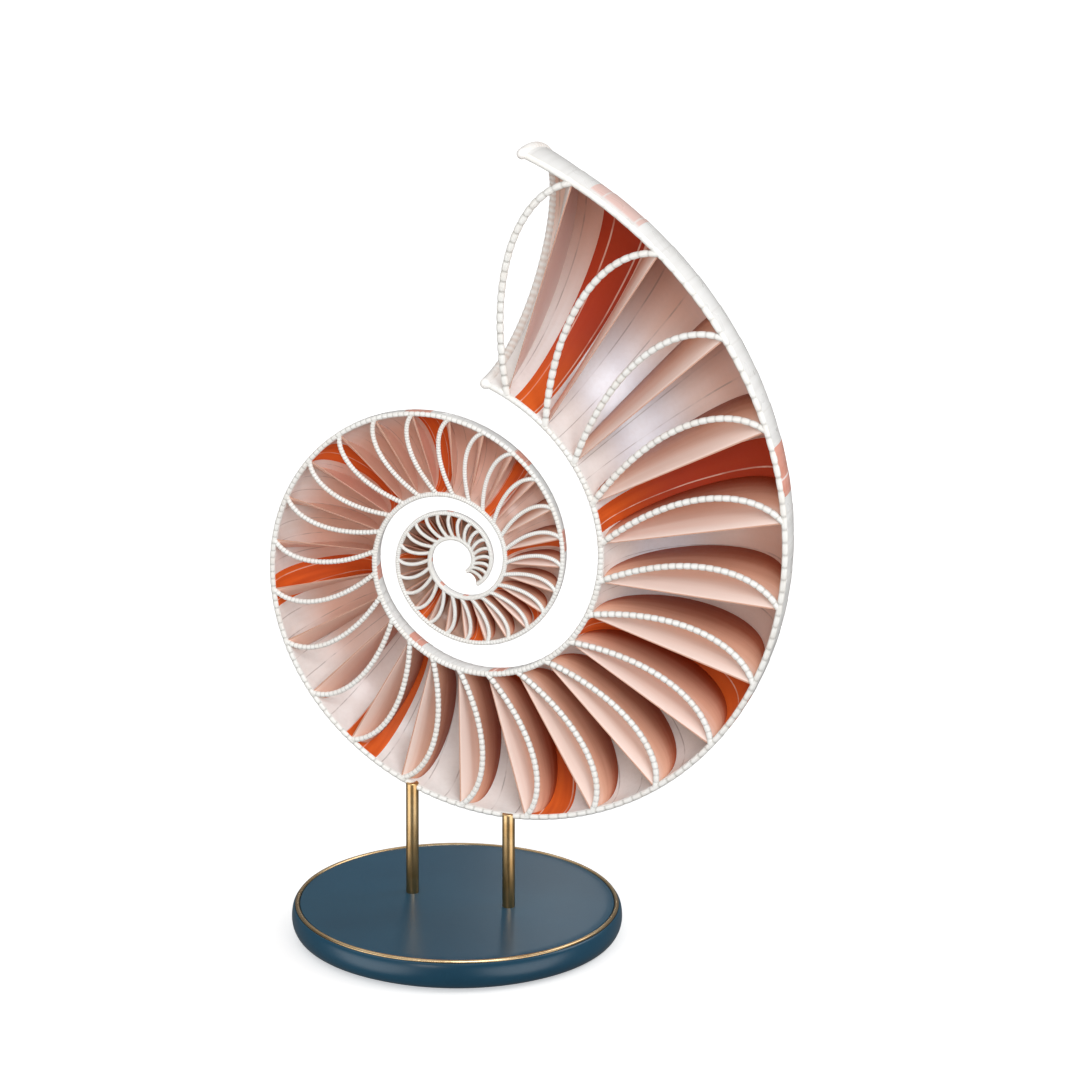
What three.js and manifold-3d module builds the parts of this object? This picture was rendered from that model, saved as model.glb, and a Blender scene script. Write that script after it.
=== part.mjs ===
// A halved nautilus shell on a round lacquered stand with two brass posts.
// Millimetres, +Z up. The underside of the base is z = 0 and its centre is the origin.
// The cut face of the shell is the upright plane y = CUT_Y and looks towards -Y.
import * as THREE from "three";
import { mergeVertices } from "three/addons/utils/BufferGeometryUtils.js";
import Module from "manifold-3d";

const DEG = Math.PI / 180;
const GAP = 0.3; // clearance between touching pieces

// Stand: a disc with a rolled side, a wire ring in a cove round its top edge, and two posts in sockets
const BASE_HEIGHT = 8.3;
const BASE_FOOT_RADIUS = 38.6;
const BASE_WIDEST_RADIUS = 41.5;
const BASE_WIDEST_HEIGHT = 4.7;
const BASE_SIDES = 48;
const FOOT_ROUND = 0.8;
const RING_RADIUS = 40.1;
const RING_HEIGHT = 7.95;
const WIRE_RADIUS = 0.55;
const WIRE_SIDES = 5;
const COVE_STEPS = 3;
const COVE_LIP_ANGLE = -20 * DEG; // where the cove starts on the base's side, seen from the wire's middle
const POST_RADIUS = 1.6;
const POST_X = 13.05;
const POST_BEVEL = 0.3;
const POST_SIDES = 20;
const POST_ABOVE_RIM = 0.6; // a post's top stands this far above the middle of the shell's rim
const SOCKET_DEPTH = 4;
const SOCKET_OVERRUN = 1; // how far the socket's cutter runs out of the base's top
const AIM_ROUNDS = 12; // rounds of the search for the rim's height over a post

// Shell spiral: radius = START * exp(GROWTH * angle), the angle turning anticlockwise seen from -Y
const CUT_Y = 2.3;
const CENTRE_X = -0.8;
const CENTRE_Z = 99.35;
const OUTER_START = 86.94;
const OUTER_GROWTH = 0.1803;
const INNER_START = 38.23;
const INNER_GROWTH = 0.1747;
const MOUTH_ANGLE = 81 * DEG;
const APEX_ANGLE = -767 * DEG;

// Half tube: depth as a share of half its width, wider at the mouth
const TUBE_DEPTH = 0.9;
const MOUTH_DEPTH = 1.0;
const FLARE_ANGLE = 8 * DEG;
const HALF_WALL_START = 0.55; // half the wall's thickness, growing with the spiral's radius
const HALF_WALL_GROWTH = 0.003;
const ROUND_STEPS = 6; // flats round the half tube
const LIP_RADIUS = 1.4;
const LIP_STEPS = 12;
const LIP_SIDES = 6;

// Septa and the strands in front of them
const SEPTA = 57;
const FIRST_SEPTUM = 73.5 * DEG;
const SEPTUM_STEP = 14.8 * DEG;
const SEPTUM_SWEEP = 5.3 * DEG; // how far a septum's back edge leans towards the mouth
const HALF_SEPTUM = 0.22;
const LEAN_POWER = 0.3;
const STRAND_START = 0.4; // a strand's radius, growing with the spiral's radius
const STRAND_GROWTH = 0.0045;
// The curve of a strand: control points as shares of its chord, along it from the outer rim and off it
const STRAND_BOW = [
  [0, 0],
  [0.12, 0.2],
  [0.52, 0.25],
  [1, 0],
];
// The flats that the sheet, wall and strand get, for the septa numbered below each limit
const DETAIL = [
  { below: 14, deep: 2, between: true, along: 7, around: 6 },
  { below: 24, deep: 2, between: true, along: 6, around: 4 },
  { below: SEPTA, deep: 1, between: false, along: 4, around: 4 },
];

// The stretch of the wall that lies on the posts
const REST_FROM = -60 * DEG;
const REST_TO = -120 * DEG;
const REST_STEP = SEPTUM_STEP / 2;

const WELD = 1e-4; // points closer than this are one point

const wasm = await Module();
wasm.setup();
const { Manifold, Mesh: SolidMesh } = wasm;

const outerRadius = (angle) => OUTER_START * Math.exp(OUTER_GROWTH * angle);
const innerRadius = (angle) => INNER_START * Math.exp(INNER_GROWTH * angle);
const halfWall = (angle) => HALF_WALL_START + HALF_WALL_GROWTH * outerRadius(angle);
const strandRadius = (angle) => STRAND_START + STRAND_GROWTH * outerRadius(angle);
const septumAngle = (index) => FIRST_SEPTUM - SEPTUM_STEP * index;
const middleRadius = (angle) => (outerRadius(angle) + innerRadius(angle)) / 2;
const halfWidth = (angle) => (outerRadius(angle) - innerRadius(angle)) / 2;

// A point given by its angle round the coil, its distance from the coil's axis and its depth behind the cut.
function coilPoint(angle, radius, depth) {
  return new THREE.Vector3(
    CENTRE_X + radius * Math.cos(angle),
    CUT_Y + depth,
    CENTRE_Z + radius * Math.sin(angle),
  );
}

// The tube's depth share at an angle: even along the coil, and flared over the last few degrees.
function depthShare(angle) {
  const flare = THREE.MathUtils.smoothstep(angle, MOUTH_ANGLE - FLARE_ANGLE, MOUTH_ANGLE);
  return TUBE_DEPTH + (MOUTH_DEPTH - TUBE_DEPTH) * flare;
}

// A closed surface made of rings with the same number of points, with both ends capped by a fan.
function sweptGeometry(rings) {
  const size = rings[0].length;
  const points = rings.flat();
  const faces = [];
  for (let ring = 0; ring + 1 < rings.length; ring++) {
    for (let i = 0; i < size; i++) {
      const next = (i + 1) % size;
      const [a, b] = [ring * size + i, ring * size + next];
      faces.push(a, b, a + size, b, b + size, a + size);
    }
  }
  for (const [start, flip] of [
    [0, true],
    [(rings.length - 1) * size, false],
  ]) {
    const middle = points.length;
    const centre = new THREE.Vector3();
    for (let i = 0; i < size; i++) centre.add(points[start + i]);
    points.push(centre.divideScalar(size));
    for (let i = 0; i < size; i++) {
      const [a, b] = [start + i, start + ((i + 1) % size)];
      faces.push(...(flip ? [middle, b, a] : [middle, a, b]));
    }
  }
  return new THREE.BufferGeometry().setFromPoints(points).setIndex(faces);
}

// A geometry as a solid for joining and cutting.
function toSolid(geometry) {
  const plain = new THREE.BufferGeometry();
  plain.setAttribute("position", geometry.getAttribute("position"));
  plain.setIndex(geometry.index);
  const merged = mergeVertices(plain, WELD);
  const made = new Manifold(
    new SolidMesh({
      numProp: 3,
      vertProperties: new Float32Array(merged.attributes.position.array),
      triVerts: new Uint32Array(merged.index.array),
    }),
  );
  if (made.volume() < 0) throw new Error("a surface is inside out");
  return made;
}

// A solid as a geometry with its own normals.
function toGeometry(solid) {
  const mesh = solid.getMesh();
  const geometry = new THREE.BufferGeometry();
  geometry.setAttribute("position", new THREE.BufferAttribute(new Float32Array(mesh.vertProperties), 3));
  geometry.setIndex(new THREE.BufferAttribute(new Uint32Array(mesh.triVerts), 1));
  const flat = geometry.toNonIndexed();
  flat.computeVertexNormals();
  return flat;
}

// How far a point leans towards the mouth, as an angle: nothing at the rims, most at the back of the tube.
function leanAt(column) {
  const inside = column > 0 && column < ROUND_STEPS;
  return inside ? SEPTUM_SWEEP * Math.sin((Math.PI * column) / ROUND_STEPS) ** LEAN_POWER : 0;
}

// A point of the tube at a column of its half round, on a surface set off from the middle of the wall.
function tubePoint(angle, column, offset, back = 1) {
  const turn = (Math.PI * column) / ROUND_STEPS;
  const width = halfWidth(angle) + offset;
  const depth = Math.max(0, depthShare(angle) * width * Math.sin(turn));
  return coilPoint(angle, middleRadius(angle) + width * Math.cos(turn), depth * back);
}

// A triangle soup that drops the triangles whose corners coincide.
class Surface {
  corners = [];

  triangle(a, b, c) {
    const shortest = Math.min(a.distanceTo(b), b.distanceTo(c), c.distanceTo(a));
    if (shortest > WELD) this.corners.push(a, b, c);
  }

  quad(a, b, c, d) {
    this.triangle(a, b, c);
    this.triangle(a, c, d);
  }

  geometry() {
    return mergeVertices(new THREE.BufferGeometry().setFromPoints(this.corners), WELD);
  }
}

const columns = Array.from({ length: ROUND_STEPS + 1 }, (_, column) => column);
const pairs = columns.slice(1).map((column) => [column - 1, column]);

// One station of the sweep: the wall's outer points, its two rim points and its inner points.
// The inner points lean by a share of the septa's own lean, and turn with a small twist either way.
function station(angle, extra, leanShare, twist) {
  const pad = halfWall(angle) + extra;
  const spread = (radius) => (Math.sign(twist) * strandRadius(angle)) / radius;
  const rims = [outerRadius(angle), innerRadius(angle)];
  return {
    outer: columns.map((column) => tubePoint(angle, column, pad)),
    inner: columns.map((column) => tubePoint(angle + twist + leanShare * leanAt(column), column, -pad)),
    rims: rims.map((radius) => coilPoint(angle + spread(radius), radius, -pad)),
  };
}

// The wall between two stations.
function joinStations(surface, first, second) {
  const loop = ({ outer, inner, rims }) => [rims[0], ...outer, rims[1], ...inner.toReversed(), rims[0]];
  const [a, b] = [loop(first), loop(second)];
  for (let i = 0; i + 1 < a.length; i++) surface.quad(a[i], b[i], b[i + 1], a[i + 1]);
}

// The end of the wall at a station, facing the mouth or the apex.
function closeStation(surface, { outer, inner, rims }, facesMouth) {
  const last = ROUND_STEPS;
  const faces = pairs.map(([i, j]) => [outer[i], outer[j], inner[j], inner[i]]);
  faces.push([rims[0], outer[0], inner[0]], [rims[1], inner[last], outer[last]]);
  for (const face of faces) {
    const [a, b, c, d] = facesMouth ? face : face.toReversed();
    if (d) surface.quad(a, b, c, d);
    else surface.triangle(a, b, c);
  }
}

// One septum: two faces from the chord in the cut plane back to the wall, the chord's own thin edge
// and the two small faces of the rims in front of it.
function addSeptum(surface, angle, mouthSide, apexSide, deep) {
  const pad = halfWall(angle);
  const last = ROUND_STEPS;
  const rows = (side, twist) =>
    Array.from({ length: deep + 1 }, (_, row) => {
      const back = row / deep;
      const lean = back * (2 - back);
      if (row === deep) return side.inner;
      return columns.map((column) => {
        const turned = angle + twist + lean * leanAt(column);
        return tubePoint(turned, column, -pad, back);
      });
    });
  const twist = HALF_SEPTUM / middleRadius(angle);
  const [front, rear] = [rows(mouthSide, twist), rows(apexSide, -twist)];
  for (const [i, j] of pairs) {
    for (let row = 0; row < deep; row++) {
      surface.quad(front[row][i], front[row + 1][i], front[row + 1][j], front[row][j]);
      surface.quad(rear[row][i], rear[row][j], rear[row + 1][j], rear[row + 1][i]);
    }
    surface.quad(front[0][i], front[0][j], rear[0][j], rear[0][i]);
  }
  surface.triangle(mouthSide.rims[0], apexSide.rims[0], mouthSide.outer[0]);
  surface.triangle(mouthSide.outer[last], apexSide.rims[1], mouthSide.rims[1]);
}

// The half tube with its septa and strands, from the mouth to the apex, as one surface.
function tubeSolid() {
  const surface = new Surface();
  let previous = station(MOUTH_ANGLE, 0, 0, 0);
  closeStation(surface, previous, true);
  for (let index = 0; index < SEPTA; index++) {
    const angle = septumAngle(index);
    const detail = DETAIL.find(({ below }) => index < below);
    const twist = HALF_SEPTUM / middleRadius(angle);
    const mouthSide = station(angle, 0, 1, twist);
    const apexSide = station(angle, 0, 1, -twist);
    joinStations(surface, previous, mouthSide);
    addSeptum(surface, angle, mouthSide, apexSide, detail.deep);
    addStrand(surface, angle, mouthSide, apexSide, detail);
    previous = apexSide;
    if (detail.between) {
      const middle = station(angle - SEPTUM_STEP / 2, 0, 1, 0);
      joinStations(surface, previous, middle);
      previous = middle;
    }
  }
  const apex = station(APEX_ANGLE, 0, 0, 0);
  joinStations(surface, previous, apex);
  closeStation(surface, apex, false);
  return toSolid(surface.geometry());
}

// The plain wall near the posts, thickened by the gap, for cutting the posts' rests.
function restSolid() {
  const surface = new Surface();
  const steps = Math.round((REST_FROM - REST_TO) / REST_STEP);
  let previous = station(REST_FROM, GAP, 0, 0);
  closeStation(surface, previous, true);
  for (let i = 1; i <= steps; i++) {
    const next = station(REST_FROM - i * REST_STEP, GAP, 0, 0);
    joinStations(surface, previous, next);
    previous = next;
  }
  closeStation(surface, previous, false);
  return toSolid(surface.geometry());
}

// A round bar along a list of points, square to its own path.
function barGeometry(points, radius, sides) {
  const rings = points.map((point, i) => {
    const before = points[Math.max(0, i - 1)];
    const after = points[Math.min(points.length - 1, i + 1)];
    const along = after.clone().sub(before).normalize();
    const side = new THREE.Vector3(0, 1, 0);
    if (Math.abs(along.y) > 0.9) side.set(0, 0, 1);
    side.addScaledVector(along, -side.dot(along)).normalize();
    const other = side.clone().cross(along);
    return Array.from({ length: sides }, (_, k) => {
      const turn = (2 * Math.PI * (k + 0.5)) / sides;
      return point
        .clone()
        .addScaledVector(side, radius * Math.cos(turn))
        .addScaledVector(other, -radius * Math.sin(turn));
    });
  });
  return sweptGeometry(rings);
}

// The rolled lip round the mouth, with both ends standing a little in front of the cut.
function lipGeometry() {
  const [middle, half] = [middleRadius(MOUTH_ANGLE), halfWidth(MOUTH_ANGLE)];
  const points = [];
  for (let i = 0; i <= LIP_STEPS; i++) {
    const turn = (Math.PI * i) / LIP_STEPS;
    points.push(coilPoint(MOUTH_ANGLE, middle + half * Math.cos(turn), MOUTH_DEPTH * half * Math.sin(turn)));
  }
  const overhang = new THREE.Vector3(0, -LIP_RADIUS, 0);
  points.unshift(points[0].clone().add(overhang));
  points.push(points.at(-1).clone().add(overhang));
  return barGeometry(points, LIP_RADIUS, LIP_SIDES);
}

// The strand's middle line at a share of its length, and the direction square to it in the cut plane.
const bowPoints = STRAND_BOW.map(([run, bow]) => new THREE.Vector2(run, bow));
const bowCurve = new THREE.CubicBezierCurve(...bowPoints);

function strandAt(angle, share) {
  const [outer, inner] = [outerRadius(angle), innerRadius(angle)];
  const { x: run, y: bow } = bowCurve.getPoint(share);
  const { x: runRate, y: bowRate } = bowCurve.getTangent(share);
  const inward = new THREE.Vector3(-Math.cos(angle), 0, -Math.sin(angle));
  const mouthward = new THREE.Vector3(-Math.sin(angle), 0, Math.cos(angle));
  const width = outer - inner;
  const place = coilPoint(angle, outer, 0)
    .addScaledVector(inward, width * run)
    .addScaledVector(mouthward, width * bow);
  const square = mouthward.clone().multiplyScalar(runRate).addScaledVector(inward, -bowRate);
  return { place, square };
}

// One strand from rim to rim, bowed towards the mouth. Its two ends grow out of the rims' small faces.
function addStrand(surface, angle, mouthSide, apexSide, { along, around }) {
  const last = ROUND_STEPS;
  const socket = (column, rim) => {
    const corners = [
      mouthSide.inner[column],
      apexSide.inner[column],
      apexSide.rims[rim],
      mouthSide.rims[rim],
    ];
    return Array.from({ length: around }, (_, i) => corners[Math.floor((4 * (i + 0.5)) / around)]);
  };
  const ring = (t) => {
    const { place, square } = strandAt(angle, t);
    return Array.from({ length: around }, (_, i) => {
      const turn = (2 * Math.PI * (i + 0.5)) / around;
      return place
        .clone()
        .addScaledVector(square, strandRadius(angle) * Math.cos(turn))
        .add(new THREE.Vector3(0, strandRadius(angle) * Math.sin(turn), 0));
    });
  };
  const rings = [socket(0, 0)];
  for (let i = 1; i < along; i++) rings.push(ring(i / along));
  rings.push(socket(last, 1));
  for (let k = 0; k < along; k++) {
    for (let i = 0; i < around; i++) {
      const next = (i + 1) % around;
      surface.quad(rings[k][i], rings[k][next], rings[k + 1][next], rings[k + 1][i]);
    }
  }
}

// The whole shell half: the tube with what grows in it, and the lip.
function shellSolid() {
  return Manifold.union([tubeSolid(), toSolid(lipGeometry())]);
}

// A turned solid from its profile of [radius, height] pairs.
function turned(profile, sides) {
  const points = profile.map(([radius, height]) => new THREE.Vector2(radius, height));
  return toSolid(new THREE.LatheGeometry(points, sides).rotateX(Math.PI / 2));
}

// The disc, with a cove for the ring and a socket for each post.
function baseSolid() {
  const cove = WIRE_RADIUS + GAP;
  const coveEnd = -Math.PI - Math.asin((BASE_HEIGHT - RING_HEIGHT) / cove);
  const profile = [
    [0, 0],
    [BASE_FOOT_RADIUS - FOOT_ROUND, 0],
    [BASE_FOOT_RADIUS, FOOT_ROUND],
    [(BASE_FOOT_RADIUS + 2 * BASE_WIDEST_RADIUS) / 3, BASE_WIDEST_HEIGHT / 2],
    [BASE_WIDEST_RADIUS, BASE_WIDEST_HEIGHT],
  ];
  for (let i = 0; i <= COVE_STEPS; i++) {
    const turn = COVE_LIP_ANGLE + ((coveEnd - COVE_LIP_ANGLE) * i) / COVE_STEPS;
    profile.push([RING_RADIUS + cove * Math.cos(turn), RING_HEIGHT + cove * Math.sin(turn)]);
  }
  profile.push([0, BASE_HEIGHT]);
  const socket = [
    [0, BASE_HEIGHT - SOCKET_DEPTH],
    [POST_RADIUS + GAP, BASE_HEIGHT - SOCKET_DEPTH],
    [POST_RADIUS + GAP, BASE_HEIGHT + SOCKET_OVERRUN],
    [0, BASE_HEIGHT + SOCKET_OVERRUN],
  ];
  const cuts = [-POST_X, POST_X].map((x) => turned(socket, POST_SIDES).translate([x, CUT_Y, 0]));
  return turned(profile, BASE_SIDES).subtract(Manifold.union(cuts));
}

// The wire ring that lies in the cove.
function ringSolid() {
  const circle = Array.from({ length: WIRE_SIDES + 1 }, (_, i) => {
    const turn = (2 * Math.PI * (i % WIRE_SIDES)) / WIRE_SIDES + Math.PI / 2;
    return [RING_RADIUS + WIRE_RADIUS * Math.cos(turn), RING_HEIGHT + WIRE_RADIUS * Math.sin(turn)];
  });
  return turned(circle, BASE_SIDES);
}

// The height of the rim's middle line over a place on the base.
function rimHeight(x) {
  let angle = -Math.PI / 2;
  for (let i = 0; i < AIM_ROUNDS; i++) angle = -Math.acos((x - CENTRE_X) / outerRadius(angle));
  return CENTRE_Z + outerRadius(angle) * Math.sin(angle);
}

// A post from its socket up to the rim, notched so that the shell lies in its top.
function postSolid(x) {
  const top = rimHeight(x) + POST_ABOVE_RIM;
  const foot = BASE_HEIGHT - SOCKET_DEPTH + GAP;
  const profile = [
    [0, foot],
    [POST_RADIUS, foot],
    [POST_RADIUS, top - POST_BEVEL],
    [POST_RADIUS - POST_BEVEL, top],
    [0, top],
  ];
  return turned(profile, POST_SIDES).translate([x, CUT_Y, 0]).subtract(restSolid());
}

const shellMaterial = new THREE.MeshStandardMaterial({ color: 0xe9e4de, roughness: 0.35, metalness: 0 });
const lacquerMaterial = new THREE.MeshStandardMaterial({ color: 0x1f4a62, roughness: 0.25, metalness: 0.1 });
const brassMaterial = new THREE.MeshStandardMaterial({ color: 0xb98f4e, roughness: 0.3, metalness: 1 });

const part = new THREE.Group();
for (const [name, solid, material] of [
  ["shell", shellSolid(), shellMaterial],
  ["base", baseSolid(), lacquerMaterial],
  ["gold_ring", ringSolid(), brassMaterial],
  ["left_post", postSolid(-POST_X), brassMaterial],
  ["right_post", postSolid(POST_X), brassMaterial],
]) {
  const mesh = new THREE.Mesh(toGeometry(solid), material);
  mesh.name = name;
  part.add(mesh);
}

export default part;
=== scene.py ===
"""A halved nautilus shell on a round lacquered stand with two brass posts.

Sizes are in millimetres in the fields below and become metres when a mesh is made. The underside of the
base is z = 0 and its centre is the origin. The cut face of the shell is an upright plane that looks towards
-Y. Angles round the coil are in degrees and turn anticlockwise seen from -Y: the mouth has the largest
angle, the apex the smallest.
"""

import logging
import math
from dataclasses import dataclass, field
from enum import Enum

import bpy
import numpy as np
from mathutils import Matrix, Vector

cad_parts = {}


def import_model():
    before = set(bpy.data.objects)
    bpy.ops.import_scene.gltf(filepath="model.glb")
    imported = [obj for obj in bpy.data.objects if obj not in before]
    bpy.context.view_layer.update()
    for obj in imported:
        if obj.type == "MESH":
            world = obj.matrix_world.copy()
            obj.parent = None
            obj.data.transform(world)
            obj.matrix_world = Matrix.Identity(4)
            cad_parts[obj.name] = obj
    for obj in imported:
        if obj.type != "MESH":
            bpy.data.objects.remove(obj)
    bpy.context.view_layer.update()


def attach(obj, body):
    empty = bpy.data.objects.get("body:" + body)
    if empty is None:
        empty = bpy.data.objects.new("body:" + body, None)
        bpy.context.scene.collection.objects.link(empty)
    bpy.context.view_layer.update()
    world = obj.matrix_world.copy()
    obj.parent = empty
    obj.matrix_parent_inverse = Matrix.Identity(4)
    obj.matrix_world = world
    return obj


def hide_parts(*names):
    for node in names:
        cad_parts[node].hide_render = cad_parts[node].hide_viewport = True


METRE = 0.001
BACKWARDS = np.array([0.0, 1.0, 0.0])
Span = tuple[float, float]
Socket = bpy.types.NodeSocket
log = logging.getLogger("nautilus")


class Skin(Enum):
    """The two skins of the half tube's wall, by the number of their material."""

    NACRE = 0
    PORCELAIN = 1


@dataclass(frozen=True)
class Coil:
    """The double spiral that every part of the shell follows."""

    centre_x: float = -0.8
    centre_z: float = 99.35
    cut_y: float = 2.3
    outer_start: float = 86.94
    outer_growth: float = 0.1803
    inner_start: float = 38.23
    inner_growth: float = 0.1747
    mouth: float = 81.0
    apex: float = -767.0
    depth_share: float = 0.9
    mouth_depth_share: float = 1.0
    flare: float = 8.0
    half_wall_start: float = 0.55
    half_wall_growth: float = 0.003
    first_septum: float = 73.5
    septum_step: float = 14.8
    septa: int = 57

    def outer(self, angle: np.ndarray) -> np.ndarray:
        """Radius of the outer rim's middle line."""
        return self.outer_start * np.exp(self.outer_growth * np.radians(angle))

    def inner(self, angle: np.ndarray) -> np.ndarray:
        """Radius of the inner rim's middle line."""
        return self.inner_start * np.exp(self.inner_growth * np.radians(angle))

    def middle(self, angle: np.ndarray) -> np.ndarray:
        """Radius halfway between the rims."""
        return (self.outer(angle) + self.inner(angle)) / 2

    def half_width(self, angle: np.ndarray) -> np.ndarray:
        """Half the distance between the rims' middle lines."""
        return (self.outer(angle) - self.inner(angle)) / 2

    def half_wall(self, angle: np.ndarray) -> np.ndarray:
        """Half the wall's thickness."""
        return self.half_wall_start + self.half_wall_growth * self.outer(angle)

    def depth(self, angle: np.ndarray) -> np.ndarray:
        """The tube's depth as a share of half its width, flared at the mouth."""
        share = np.clip((angle - self.mouth + self.flare) / self.flare, 0, 1)
        smooth = share * share * (3 - 2 * share)
        return self.depth_share + (self.mouth_depth_share - self.depth_share) * smooth

    def septum_angle(self, index: int) -> float:
        """Angle of a septum and of its strand."""
        return self.first_septum - self.septum_step * index

    def place(self, angle: np.ndarray, radius: np.ndarray, behind: np.ndarray) -> np.ndarray:
        """Points at an angle and radius round the coil.

        Args:
            angle: Degrees round the coil.
            radius: Distance from the coil's axis.
            behind: Depth behind the cut plane.

        Returns:
            An array with x, y and z along its last axis.
        """
        turn = np.radians(angle)
        x = self.centre_x + radius * np.cos(turn)
        z = self.centre_z + radius * np.sin(turn)
        return np.stack(np.broadcast_arrays(x, self.cut_y + behind, z), axis=-1)

    def tube(self, angle: np.ndarray, around: np.ndarray, offset: np.ndarray,
             back: np.ndarray | float = 1.0) -> np.ndarray:
        """Points of the half tube.

        Args:
            angle: Degrees round the coil.
            around: Place round the half tube, 0 at the outer rim and 1 at the inner rim.
            offset: Distance outwards from the middle of the wall.
            back: Share of the tube's depth, 0 in the cut plane and 1 on the wall.

        Returns:
            An array with x, y and z along its last axis.
        """
        width = self.half_width(angle) + offset
        radius = self.middle(angle) + width * np.cos(np.pi * around)
        return self.place(angle, radius, self.depth(angle) * width * np.sin(np.pi * around) * back)


class Draft:
    """A mesh in the making: points in millimetres, faces, a material per face and named point values."""

    def __init__(self, name: str) -> None:
        """Starts an empty draft of a piece with this name."""
        self.name = name
        self.points: list[np.ndarray] = []
        self.quads: list[np.ndarray] = []
        self.slots: list[np.ndarray] = []
        self.values: dict[str, list[np.ndarray]] = {}
        self.count = 0

    def grid(self, points: np.ndarray, values: dict[str, np.ndarray], slot: int = 0,
             wrap: bool = False, flip: bool = False, caps: bool = False) -> None:
        """Adds a sheet of quads.

        Args:
            points: An array of rows by columns by 3.
            values: Named numbers for each point, each an array of rows by columns.
            slot: The material number of the faces.
            wrap: Joins the last column to the first.
            flip: Turns the faces over.
            caps: Closes the first and last row with a fan, for a wrapped sheet.
        """
        rows, columns = points.shape[:2]
        sheet = {key: np.broadcast_to(value, (rows, columns)) for key, value in values.items()}
        index = self.count + np.arange(rows * columns).reshape(rows, columns)
        right = np.roll(index, -1, axis=1)
        faces = np.stack([index[:-1], right[:-1], right[1:], index[1:]], axis=-1)
        if not wrap:
            faces = faces[:, :-1]
        self._add(points.reshape(-1, 3), {key: value.reshape(-1) for key, value in sheet.items()})
        self._faces(faces.reshape(-1, 4), slot, flip)
        if caps:
            for row, over in ((0, not flip), (rows - 1, flip)):
                ring_values = {key: value[row] for key, value in sheet.items()}
                self._cap(points[row], ring_values, index[row], slot, over)

    def _cap(self, ring: np.ndarray, values: dict[str, np.ndarray], index: np.ndarray, slot: int,
             flip: bool) -> None:
        """Closes a ring of points with a fan round its middle, each triangle a quad with one corner twice."""
        centre = np.full_like(index, self.count)
        self._add(ring.mean(axis=0)[None], {key: value.mean()[None] for key, value in values.items()})
        self._faces(np.stack([index, np.roll(index, -1), centre, centre], axis=-1), slot, flip)

    def _add(self, points: np.ndarray, values: dict[str, np.ndarray]) -> None:
        """Adds points with their values."""
        self.points.append(points)
        for key, numbers in values.items():
            self.values.setdefault(key, []).append(numbers)
        self.count += len(points)

    def _faces(self, faces: np.ndarray, slot: int, flip: bool) -> None:
        """Adds faces of one material."""
        self.quads.append(faces[:, ::-1] if flip else faces)
        self.slots.append(np.full(len(faces), slot))

    def build(self, materials: list[bpy.types.Material], sharp: float = 40.0) -> bpy.types.Object:
        """Makes the object in the scene.

        Args:
            materials: The materials that the face numbers stand for.
            sharp: Edges that turn by more degrees than this stay hard.

        Returns:
            The new object.
        """
        quads = np.concatenate(self.quads)
        kept = np.ones(quads.shape, dtype=bool)
        kept[:, 0] = quads[:, 0] != quads[:, 1]
        kept[:, 3] = quads[:, 2] != quads[:, 3]
        sides = kept.sum(axis=1)
        loops = quads[kept]
        starts = np.concatenate([[0], np.cumsum(sides)[:-1]])
        mesh = bpy.data.meshes.new(self.name)
        mesh.vertices.add(self.count)
        mesh.vertices.foreach_set("co", (np.concatenate(self.points) * METRE).astype(np.float32).reshape(-1))
        mesh.loops.add(len(loops))
        mesh.loops.foreach_set("vertex_index", loops.astype(np.int32))
        mesh.polygons.add(len(sides))
        mesh.polygons.foreach_set("loop_start", starts.astype(np.int32))
        mesh.polygons.foreach_set("material_index", np.concatenate(self.slots).astype(np.int32))
        mesh.update(calc_edges=True)
        mesh.validate()
        for key, numbers in self.values.items():
            layer = mesh.attributes.new(key, "FLOAT", "POINT")
            layer.data.foreach_set("value", np.concatenate(numbers).astype(np.float32))
        for material in materials:
            mesh.materials.append(material)
        mesh.shade_smooth()
        mesh.set_sharp_from_angle(angle=math.radians(sharp))
        piece = bpy.data.objects.new(self.name, mesh)
        bpy.context.scene.collection.objects.link(piece)
        return piece


def rope(draft: Draft, path: np.ndarray, radii: np.ndarray, sides: int, values: dict[str, np.ndarray],
         across: np.ndarray) -> None:
    """Adds a round bar along a path.

    Args:
        draft: The draft that takes the bar.
        path: The points of its middle line.
        radii: Its radius at each point.
        sides: The number of flats round it.
        values: Named numbers for each point of the path.
        across: A direction that is never along the path, from which the flats are counted.
    """
    along = np.gradient(path, axis=0)
    along /= np.linalg.norm(along, axis=1)[:, None]
    side = across - along * (along @ across)[:, None]
    side /= np.linalg.norm(side, axis=1)[:, None]
    other = np.cross(along, side)
    turn = 2 * np.pi * np.arange(sides) / sides
    rings = path[:, None] + radii[:, None, None] * (
        side[:, None] * np.cos(turn)[None, :, None] + other[:, None] * np.sin(turn)[None, :, None])
    draft.grid(rings, {k: v[:, None] for k, v in values.items()}, wrap=True, caps=True)


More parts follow.
